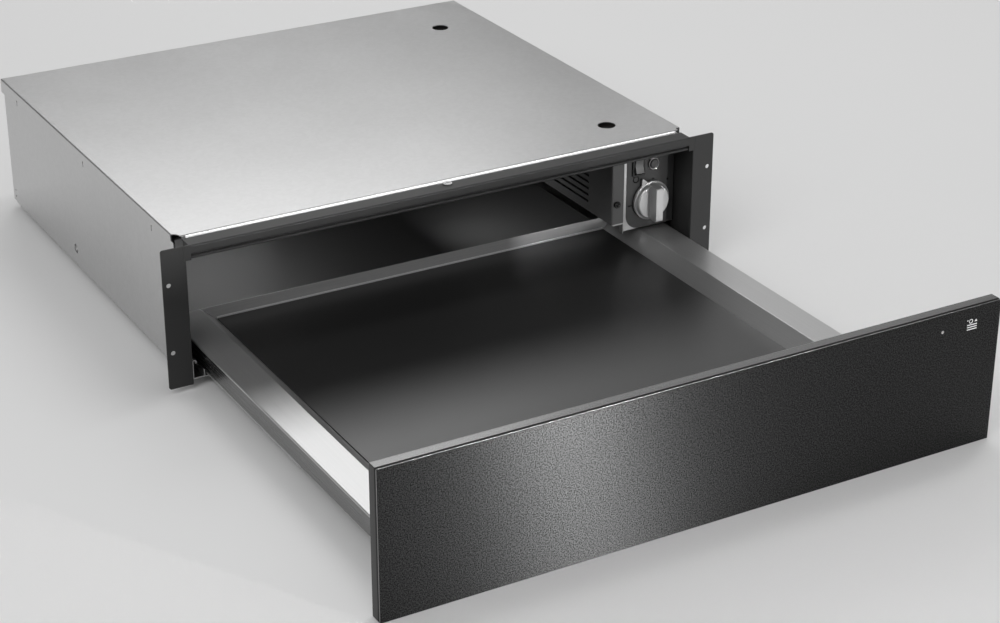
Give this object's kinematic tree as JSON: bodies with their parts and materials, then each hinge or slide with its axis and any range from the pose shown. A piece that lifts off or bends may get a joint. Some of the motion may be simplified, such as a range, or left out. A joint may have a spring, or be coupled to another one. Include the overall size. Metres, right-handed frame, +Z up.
{
  "type": "built-in warming drawer",
  "caption": "Built-in warming drawer with a flat front, ball-bearing full-width tray, slotted fixing frame, thermostat knob, rocker switch and fan heater.",
  "frame": {"origin": "centre of the underside of the sheet casing, where it rests on the niche shelf; the open drawer and its panel lie in front of it", "axes": "+X to the right seen from the front, +Y to the back, +Z up; the drawer opens along -Y"},
  "size_m": [0.597, 0.938, 0.1447],
  "materials": {
    "zinc_sheet": "zinc-coated sheet, satin",
    "dark_steel_sheet": "dark coated sheet, glossy",
    "dark_paint": "dark grey powder paint, satin",
    "plated_steel": "zinc-plated steel",
    "runner_steel": "galvanised, satin",
    "drawer_steel": "brushed stainless steel",
    "mat_rubber": "fine satin non-slip mat",
    "black_plastic": "moulded, matt",
    "grey_plastic": "moulded, fine satin",
    "pale_plastic": "moulded, matt",
    "front_finish": "dark grey, smooth satin",
    "lamp_glass": "clear lens over a pale diffuser",
    "mineral_wool": "pressed mineral wool",
    "element_steel": "heat-darkened tube",
    "balls_and_cages": "yellow-passivated strip with steel balls",
    "aluminium": "bare"
  },
  "bodies": {
    "casing": {"top_cover": "zinc_sheet", "side_panel_left": "zinc_sheet", "side_panel_right": "zinc_sheet", "base_plate": "zinc_sheet", "back_panel": "zinc_sheet", "casing_screws": "plated_steel", "cavity_floor": "dark_steel_sheet", "cavity_ceiling": "dark_steel_sheet", "wool_pad": "mineral_wool", "top_rail": "dark_paint", "frame_upright_left": "dark_paint", "frame_upright_right": "dark_paint", "rail_screw": "plated_steel", "partition": "dark_steel_sheet", "partition_screw": "plated_steel", "control_plate": "dark_steel_sheet", "rocker_housing": "black_plastic", "lamp_body": "black_plastic", "lamp_lens": "lamp_glass", "thermostat": "pale_plastic", "fan_scroll": "zinc_sheet", "fan_motor": "aluminium", "heating_element": "element_steel", "thermal_cutout": "black_plastic", "terminal_block": "pale_plastic", "cable_gland": "black_plastic", "runner_fixed_left": "runner_steel", "runner_fixed_right": "runner_steel", "runner_rivets": "plated_steel", "push_latch_left": "black_plastic", "push_latch_right": "black_plastic"},
    "drawer": {"drawer_chassis": "drawer_steel", "rim_left": "drawer_steel", "rim_right": "drawer_steel", "tray_floor": "drawer_steel", "tray_back": "drawer_steel", "mat": "mat_rubber", "panel_frame": "dark_paint", "panel_joint": "black_plastic", "front_sheet": "front_finish", "panel_screws": "plated_steel", "panel_bumpers": "grey_plastic", "indicator_lens": "lamp_glass", "runner_drawer_left": "runner_steel", "runner_drawer_right": "runner_steel"},
    "middle_member_left": {"runner_middle_left": "runner_steel"},
    "middle_member_right": {"runner_middle_right": "runner_steel"},
    "rear_cage_left": {"rear_balls_left": "balls_and_cages"},
    "rear_cage_right": {"rear_balls_right": "balls_and_cages"},
    "front_cage_left": {"front_balls_left": "balls_and_cages"},
    "front_cage_right": {"front_balls_right": "balls_and_cages"},
    "thermostat_knob": {"knob": "grey_plastic", "thermostat_shaft": "plated_steel"},
    "rocker_key": {"rocker": "black_plastic"},
    "fan": {"fan_wheel": "zinc_sheet"},
    "plunger_left": {"push_plunger_left": "grey_plastic"},
    "plunger_right": {"push_plunger_right": "grey_plastic"}
  },
  "joints": [
    {"name": "drawer_slide", "type": "slide", "parent": "casing", "child": "drawer", "axis": [0, 1, 0], "range_m": [0, 0.413]},
    {"name": "middle_slide_left", "type": "slide", "parent": "casing", "child": "middle_member_left", "axis": [0, 1, 0], "range_m": [0, 0.2065]},
    {"name": "rear_balls_slide_left", "type": "slide", "parent": "casing", "child": "rear_cage_left", "axis": [0, 1, 0], "range_m": [0, 0.10325]},
    {"name": "front_balls_slide_left", "type": "slide", "parent": "casing", "child": "front_cage_left", "axis": [0, 1, 0], "range_m": [0, 0.30975]},
    {"name": "middle_slide_right", "type": "slide", "parent": "casing", "child": "middle_member_right", "axis": [0, 1, 0], "range_m": [0, 0.2065]},
    {"name": "rear_balls_slide_right", "type": "slide", "parent": "casing", "child": "rear_cage_right", "axis": [0, 1, 0], "range_m": [0, 0.10325]},
    {"name": "front_balls_slide_right", "type": "slide", "parent": "casing", "child": "front_cage_right", "axis": [0, 1, 0], "range_m": [0, 0.30975]},
    {"name": "thermostat_turn", "type": "hinge", "parent": "casing", "child": "thermostat_knob", "pos_m": [0.241, -0.2322, 0.0638], "axis": [0, 1, 0], "range_deg": [0, 270]},
    {"name": "rocker_tip", "type": "hinge", "parent": "casing", "child": "rocker_key", "pos_m": [0.226, -0.2282, 0.1024], "axis": [1, 0, 0], "range_deg": [0, 16]},
    {"name": "fan_spin", "type": "hinge", "parent": "casing", "child": "fan", "pos_m": [0.2079, 0.1328, 0.0882], "axis": [1, 0, 0], "continuous": true},
    {"name": "plunger_push_left", "type": "slide", "parent": "casing", "child": "plunger_left", "axis": [0, 1, 0], "range_m": [0, 0.004], "stiffness_N_per_m": 400},
    {"name": "plunger_push_right", "type": "slide", "parent": "casing", "child": "plunger_right", "axis": [0, 1, 0], "range_m": [0, 0.004], "stiffness_N_per_m": 400}
  ],
  "couplings": [
    {"joint": "middle_slide_left", "follows": "drawer_slide", "ratio": 0.5},
    {"joint": "rear_balls_slide_left", "follows": "drawer_slide", "ratio": 0.25},
    {"joint": "front_balls_slide_left", "follows": "drawer_slide", "ratio": 0.75},
    {"joint": "middle_slide_right", "follows": "drawer_slide", "ratio": 0.5},
    {"joint": "rear_balls_slide_right", "follows": "drawer_slide", "ratio": 0.25},
    {"joint": "front_balls_slide_right", "follows": "drawer_slide", "ratio": 0.75}
  ]
}
